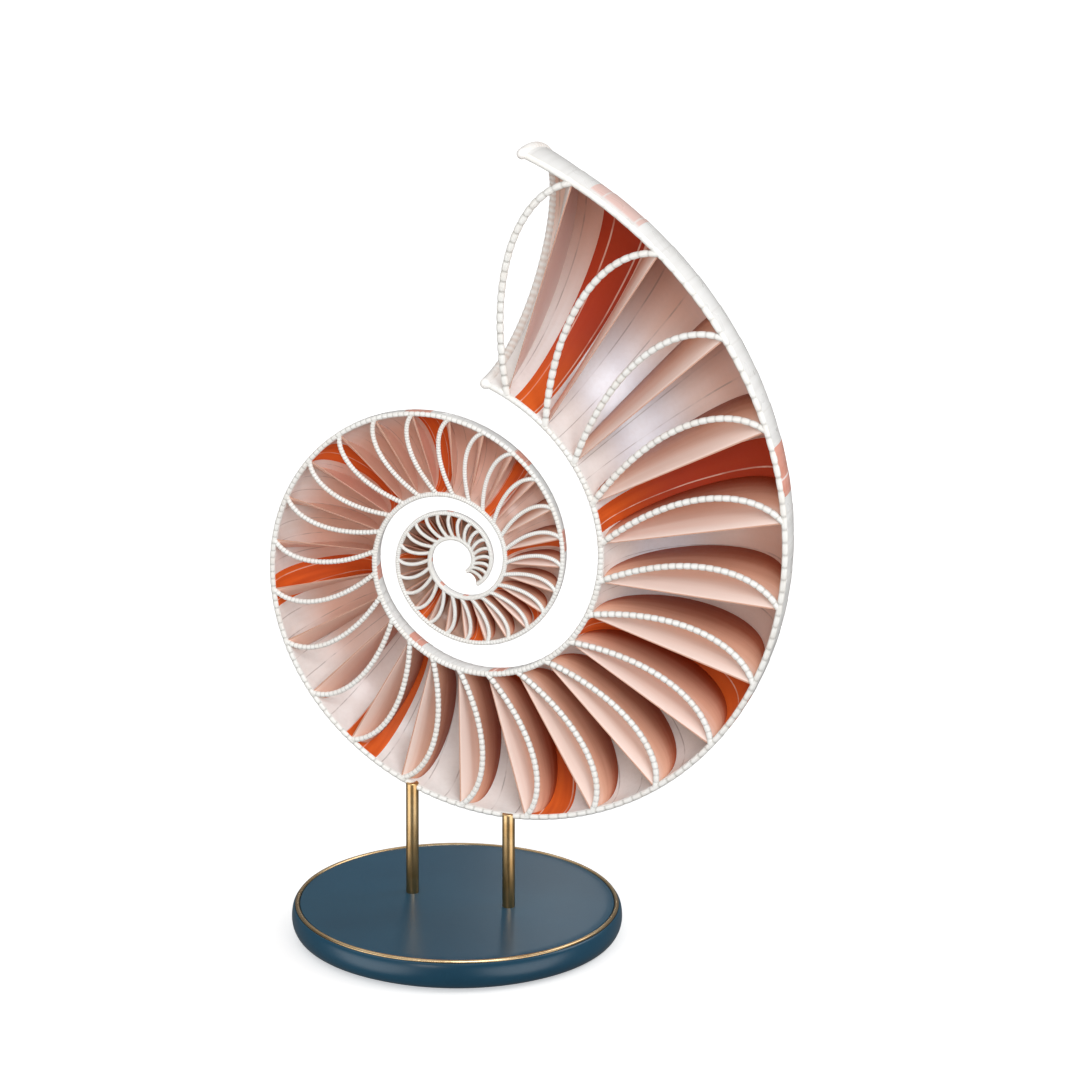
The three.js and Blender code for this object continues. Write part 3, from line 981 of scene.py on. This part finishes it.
    def _strand(self, draft: Draft, index: int) -> None:
        """Adds one strand to the draft."""
        angle = self.coil.septum_angle(index)
        beads = round(self.strand_beads + self.strand_bead_growth * index)
        large = index < self.large_strands
        offsets = np.array(self.strand_rings if large else self.small_rings)
        phase = np.append((np.arange(beads)[:, None] + offsets).reshape(-1), beads)
        dense = self.strand_line(angle, self.bead_points * beads + 1)
        run = np.linspace(0, beads, len(dense))
        path = np.stack([np.interp(phase, run, column) for column in dense.T], axis=1)
        radius = self.strand_start + self.strand_growth * float(self.coil.outer(angle))
        depth = self.notch_outer + (self.notch_inner - self.notch_outer) * phase / beads
        depth = depth * (1.0 if large else self.small_notch_share)
        profile, notch = self.bead_profile(phase, depth)
        sides = self.strand_sides if large else self.small_sides
        # painted shade in the notches, as strong as the notches are deep
        rope(draft, path, radius * profile, sides, {"notch": notch * depth / self.notch_inner}, BACKWARDS)

    def rims(self) -> bpy.types.Object:
        """Builds the beaded rims along the cut edges of the wall."""
        draft = Draft("shell_rims")
        beads = int((self.coil.mouth - self.coil.apex) / self.rim_bead_step)
        phase = np.append((np.arange(beads)[:, None] + np.array(self.strand_rings)).reshape(-1), beads)
        angles = self.coil.mouth + (self.coil.apex - self.coil.mouth) * phase / beads
        beyond = np.clip((self.coil.mouth - self.smooth_rim - angles) / self.rim_fade, 0, 1)
        depth_start, depth_gain = self.rim_depths
        shade_start, shade_gain = self.rim_shades
        profile, notch = self.bead_profile(phase, self.rim_notch * (depth_start + depth_gain * beyond))
        # painted shade in the notches, fainter near the mouth
        notch = notch * (shade_start + shade_gain * beyond)
        for radius in (self.coil.outer(angles), self.coil.inner(angles)):
            path = self.coil.place(angles, radius, 0.0)
            radii = self.coil.half_wall(angles) * profile
            rope(draft, path, radii, self.rim_sides, {"notch": notch}, BACKWARDS)
        return self.dress(draft.build([BeadFinish("rim_beads").make()], sharp=80.0))

    def lip(self) -> bpy.types.Object:
        """Builds the rolled lip round the mouth, with low ribs and rounded ends."""
        mouth = self.coil.mouth
        half = float(self.coil.half_width(mouth))
        middle = float(self.coil.middle(mouth))
        ribs = round(math.pi * half / self.lip_rib)
        share = np.linspace(0, 1, ribs * self.rib_points + 1)
        arc = self.coil.place(mouth, middle + half * np.cos(np.pi * share),
                              self.coil.mouth_depth_share * half * np.sin(np.pi * share))
        nose = np.sin(np.linspace(0, np.pi / 2, self.lip_end_rings + 1))[1:]
        front = np.array([0, -self.lip_radius, 0])
        path = np.concatenate([arc[0] + front * nose[::-1, None], arc, arc[-1] + front * nose[:, None]])
        rib = self._lip_ribs(share, ribs)
        round_end = np.sqrt(np.clip(1 - nose**2, self.lip_tip**2, 1))
        radii = self.lip_radius * np.concatenate([round_end[::-1], rib, round_end])
        plain = np.zeros(len(nose))
        # painted shade in the grooves between the lip's ribs
        notch = np.clip(np.concatenate([plain, (1 - rib) / self.rib_depth, plain]), 0, 1)
        draft = Draft("shell_lip")
        rope(draft, path, radii, self.lip_sides, {"notch": notch}, np.array([1.0, 0.0, self.lip_lean]))
        # painted shade: the grey-peach in the grooves between the ribs
        finish = BeadFinish("lip_ribs", white="F7F4F0", notch="E6D8CE", warm="F4ECE5")
        return self.dress(draft.build([finish.make()], sharp=80.0))

    def _lip_ribs(self, share: np.ndarray, ribs: int) -> np.ndarray:
        """The lip's radius share, with ribs that fade out at both ends."""
        fade = np.clip(np.minimum(share, 1 - share) / self.rib_fade - self.rib_late, 0, 1)
        return 1 - self.rib_depth * fade * (0.5 - 0.5 * np.cos(2 * np.pi * ribs * share))

    def build(self) -> list[bpy.types.Object]:
        """Builds every piece of the shell."""
        return [self.wall(), self.septa(), self.strands(), self.rims(), self.lip()]


def turned(name: str, profile: np.ndarray, sides: int, centre: tuple[float, float] = (0.0, 0.0)) -> Draft:
    """A turned piece from its profile.

    Args:
        name: The piece's name.
        profile: Rows of radius and height, from the underside round to the top.
        sides: The number of flats round it.
        centre: Where its axis stands.

    Returns:
        The draft.
    """
    draft = Draft(name)
    turn = 2 * np.pi * np.arange(sides) / sides
    radius, height = profile[:, 0:1], profile[:, 1:2]
    points = np.stack(np.broadcast_arrays(
        centre[0] + radius * np.cos(turn), centre[1] + radius * np.sin(turn), height), axis=-1)
    draft.grid(points, {"run": np.broadcast_to(height, points.shape[:2])}, wrap=True, caps=True)
    return draft


@dataclass
class Stand:
    """The round base, the wire ring in its cove and the two posts."""

    coil: Coil = field(default_factory=Coil)
    height: float = 8.3
    foot_radius: float = 38.6
    foot_round: float = 0.8
    widest_radius: float = 41.5
    widest_height: float = 4.7
    ring_radius: float = 40.1
    ring_height: float = 7.95
    wire_radius: float = 0.55
    groove: float = 0.12
    sides: int = 256
    wire_sides: int = 14
    side_top_share: float = 0.9
    side_top_drop: float = 0.15
    shoulder: float = 0.25
    hub: float = 0.5
    top_rings: tuple[float, ...] = (37.0, 30.0, 20.0, 10.0)
    post_radius: float = 1.6
    post_x: float = 13.05
    post_bevel: float = 0.3
    post_above_rim: float = 0.6
    post_sides: int = 48
    post_rows: int = 12
    post_hub: float = 0.05
    post_rings: tuple[float, ...] = (0.6, 0.3)
    post_sunk: float = 1.0

    def arc(self, centre: Span, radius: Span, start: float, end: float, count: int) -> np.ndarray:
        """Points of an arc of an ellipse.

        Args:
            centre: Its middle.
            radius: Its two half axes.
            start: The first angle, in degrees.
            end: The last angle.
            count: How many points.

        Returns:
            Rows of radius and height.
        """
        turn = np.radians(np.linspace(start, end, count))
        return np.stack([centre[0] + radius[0] * np.cos(turn), centre[1] + radius[1] * np.sin(turn)], axis=1)

    def base(self) -> bpy.types.Object:
        """Builds the disc: flat foot, bulging side, a groove for the wire and a flat top."""
        foot = self.arc((self.foot_radius - self.foot_round, self.foot_round), (self.foot_round,) * 2,
                        -90, -25, 6)
        foot_end, foot_top = foot[-1]
        below = self.arc((foot_end, self.widest_height),
                         (self.widest_radius - foot_end, self.widest_height - foot_top), -75, 0, 12)
        groove = self.wire_radius + self.groove
        side_top = self.ring_radius + groove * self.side_top_share
        rise = self.ring_height - self.side_top_drop - self.widest_height
        above = self.arc((side_top, self.widest_height), (self.widest_radius - side_top, rise), 0, 88, 12)
        cove = self.arc((self.ring_radius, self.ring_height), (groove, groove), -20, -195, 14)
        shoulder = self.arc((cove[-1, 0] - self.shoulder, self.height - self.shoulder), (self.shoulder,) * 2,
                            10, 90, 5)
        flat = np.array([[radius, self.height] for radius in (*self.top_rings, self.hub)])
        profile = np.concatenate([[[self.hub, 0.0]], foot, below[1:], above[1:], cove, shoulder, flat])
        draft = turned("base_disc", profile, self.sides)
        return self._dress(draft.build([LacquerFinish().make()], sharp=50.0), "base")

    def ring(self) -> bpy.types.Object:
        """Builds the wire ring."""
        turn = np.linspace(0, 2 * np.pi, self.sides + 1)[:, None]
        tube = 2 * np.pi * np.arange(self.wire_sides) / self.wire_sides
        radius = self.ring_radius + self.wire_radius * np.cos(tube)
        height = self.ring_height + self.wire_radius * np.sin(tube)
        points = np.stack(np.broadcast_arrays(radius * np.cos(turn), radius * np.sin(turn), height), axis=-1)
        points[-1] = points[0]
        draft = Draft("ring_wire")
        draft.grid(points, {"run": np.degrees(turn)}, wrap=True)
        finish = BrassFinish("ring_brass", gold="D6BC94", gold_dark="C8A97E", roughness=0.26)
        return self._dress(draft.build([finish.make()]), "gold_ring")

    def rim_height(self, x: float) -> float:
        """The height of the rim's middle line over a place on the base."""
        angle = -90.0
        for _ in range(12):
            reach = (x - self.coil.centre_x) / float(self.coil.outer(angle))
            angle = -math.degrees(math.acos(reach))
        return self.coil.centre_z + float(self.coil.outer(angle)) * math.sin(math.radians(angle))

    def post(self, name: str, node: str, x: float) -> bpy.types.Object:
        """Builds a plain rod that ends just above the rim's middle line, its back half standing in the wall.

        Args:
            name: The piece's name.
            node: The solid that it stands for.
            x: Where it stands.

        Returns:
            The dressed piece.
        """
        rim = self.rim_height(x)
        top = rim + self.post_above_rim
        rows = np.linspace(self.height - self.post_sunk, top - self.post_bevel, self.post_rows)
        side = np.stack([np.full(len(rows), self.post_radius), rows], axis=1)
        bevel = self.arc((self.post_radius - self.post_bevel, top - self.post_bevel),
                         (self.post_bevel,) * 2, 15, 90, 6)
        inner = np.array([[self.post_radius * share, top] for share in (*self.post_rings, self.post_hub)])
        profile = np.concatenate([[[self.post_hub, rows[0]]], side, bevel, inner])
        draft = turned(name, profile, self.post_sides, (x, self.coil.cut_y))
        # painted reflection of the dark base darkens the posts towards the foot
        finish = BrassFinish(name + "_brass", foot_shade_share=0.6)
        return self._dress(draft.build([finish.make()]), node)

    def _dress(self, piece: bpy.types.Object, node: str) -> bpy.types.Object:
        """Puts a piece of the stand on the frame in place of a solid."""
        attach(piece, "root")
        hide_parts(node)
        return piece

    def build(self) -> list[bpy.types.Object]:
        """Builds every piece of the stand."""
        return [
            self.base(),
            self.ring(),
            self.post("left_rod", "left_post", -self.post_x),
            self.post("right_rod", "right_post", self.post_x),
        ]


@dataclass(frozen=True)
class Lamp:
    """One square soft light that looks at the shell."""

    name: str
    azimuth: float
    elevation: float
    distance: float
    size: float
    power: float
    colour: tuple[float, float, float] = (1.0, 1.0, 1.0)


@dataclass
class Studio:
    """The camera, the floor, the lights and the sky."""

    target: tuple[float, float, float] = (21.575, 2.3, 107.95)
    azimuth: float = 22.2
    elevation: float = 20.9
    distance: float = 8.0
    frame_width: float = 0.27
    sensor: float = 36.0
    floor_size: float = 40.0
    far_clip: float = 100.0
    sky_low: float = 0.18
    sky_high: float = 0.75
    sky_span: Span = (0.4, 0.75)
    sky_colour: tuple[float, ...] = (1.0, 0.99, 0.98, 1.0)
    bands: tuple[float, ...] = (-38.0, 70.0)
    band_gain: float = 2.0
    band_drop: Span = (0.1, -0.1)
    band_span: Span = (0.78, 0.92)
    floor_glow: float = 0.5
    lamps: tuple[Lamp, ...] = (
        Lamp("key", 36.0, 32.0, 1.6, 1.0, 20.0, (0.92, 0.96, 1.0)),
        Lamp("front", 0.0, 10.0, 1.6, 0.4, 2.2, (1.0, 0.92, 0.86)),
        Lamp("fill", -45.0, 45.0, 1.8, 1.4, 2.4, (0.96, 0.98, 1.0)),
        Lamp("side", 118.0, 35.0, 1.6, 1.0, 8.0),
        Lamp("window", 201.2, 9.8, 0.459, 0.03, 0.012),
    )

    def direction(self, azimuth: float, elevation: float) -> Vector:
        """The direction from the target to a camera or lamp."""
        flat = math.cos(math.radians(elevation))
        return Vector((math.sin(math.radians(azimuth)) * flat, -math.cos(math.radians(azimuth)) * flat,
                       math.sin(math.radians(elevation))))

    def aim(self, thing: bpy.types.Object, azimuth: float, elevation: float, distance: float) -> None:
        """Places a camera or lamp and turns it to the target."""
        way = self.direction(azimuth, elevation)
        thing.location = Vector(self.target) * METRE + way * distance
        thing.rotation_euler = way.to_track_quat("Z", "Y").to_euler()

    def camera(self) -> None:
        """Makes the camera, far off with a long lens."""
        data = bpy.data.cameras.new("camera")
        data.sensor_width = self.sensor
        data.lens = self.sensor * self.distance / self.frame_width
        data.clip_end = self.far_clip
        thing = bpy.data.objects.new("camera", data)
        bpy.context.scene.collection.objects.link(thing)
        self.aim(thing, self.azimuth, self.elevation, self.distance)
        bpy.context.scene.camera = thing

    def floor(self) -> None:
        """Makes the plain pale floor."""
        half = self.floor_size / 2
        corner_points = [(-half, -half, 0), (half, -half, 0), (half, half, 0), (-half, half, 0)]
        mesh = bpy.data.meshes.new("floor")
        mesh.from_pydata(corner_points, [], [(0, 1, 2, 3)])
        weave = Weave("floor_paper")
        grain = weave.noise(weave.position(), 3.0)
        weave.drive("Base Color", weave.mix(grain, "FCFCFC", "FAFAFA"))
        weave.set("Roughness", 1.0)
        weave.set("Specular IOR Level", 0.0)
        weave.set("Emission Color", (1.0, 1.0, 1.0, 1.0))
        weave.set("Emission Strength", self.floor_glow)
        mesh.materials.append(weave.material)
        thing = bpy.data.objects.new("floor", mesh)
        bpy.context.scene.collection.objects.link(thing)
        thing.visible_diffuse = False
        thing.visible_glossy = False

    def sky(self) -> None:
        """Makes a plain surround: bright overhead, dim low down, with a soft band below it on each side."""
        world = bpy.data.worlds.new("surround")
        bpy.context.scene.world = world
        world.use_nodes = True
        net = Net(world.node_tree)
        way = net.tree.nodes.new("ShaderNodeTexCoord").outputs["Generated"]
        height = net.along(way, (0.0, 0.0, 1.0))
        strength = net.spread(height, *self.sky_span, self.sky_low, self.sky_high)
        below = net.spread(height, *self.band_drop)
        for azimuth in self.bands:
            toward = net.along(way, tuple(self.direction(azimuth, 0.0)))
            band = net.spread(toward, *self.band_span, 0.0, self.band_gain)
            strength = net.maths("MULTIPLY_ADD", band, below, strength)
        background = net.tree.nodes["Background"]
        net.tree.links.new(strength, background.inputs["Strength"])
        background.inputs["Color"].default_value = self.sky_colour

    def lights(self) -> None:
        """Makes the soft lights."""
        for lamp in self.lamps:
            data = bpy.data.lights.new(lamp.name, "AREA")
            data.size = lamp.size
            data.energy = lamp.power
            data.color = lamp.colour
            thing = bpy.data.objects.new(lamp.name, data)
            bpy.context.scene.collection.objects.link(thing)
            self.aim(thing, lamp.azimuth, lamp.elevation, lamp.distance)

    def flag(self, name: str, lit: list[bpy.types.Object]) -> None:
        """Sets a flag in front of a lamp, so that its light falls on the given pieces alone."""
        group = bpy.data.collections.new(name + "_lit")
        for piece in lit:
            group.objects.link(piece)
        bpy.data.objects[name].light_linking.receiver_collection = group

    def build(self) -> None:
        """Makes everything round the object."""
        self.camera()
        self.floor()
        self.sky()
        self.lights()
        bpy.context.scene.view_settings.view_transform = "Standard"


def main() -> None:
    """Builds the stand and the shell round the frame."""
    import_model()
    studio = Studio()
    studio.build()
    pieces = [*Stand().build(), *ShellHalf().build()]
    for piece in pieces:
        log.info("%s: %d faces", piece.name, len(piece.data.polygons))
    studio.flag("key", [piece for piece in pieces if piece.name != "base_disc"])


if __name__ == "__main__":
    logging.basicConfig(level=logging.INFO)
    main()
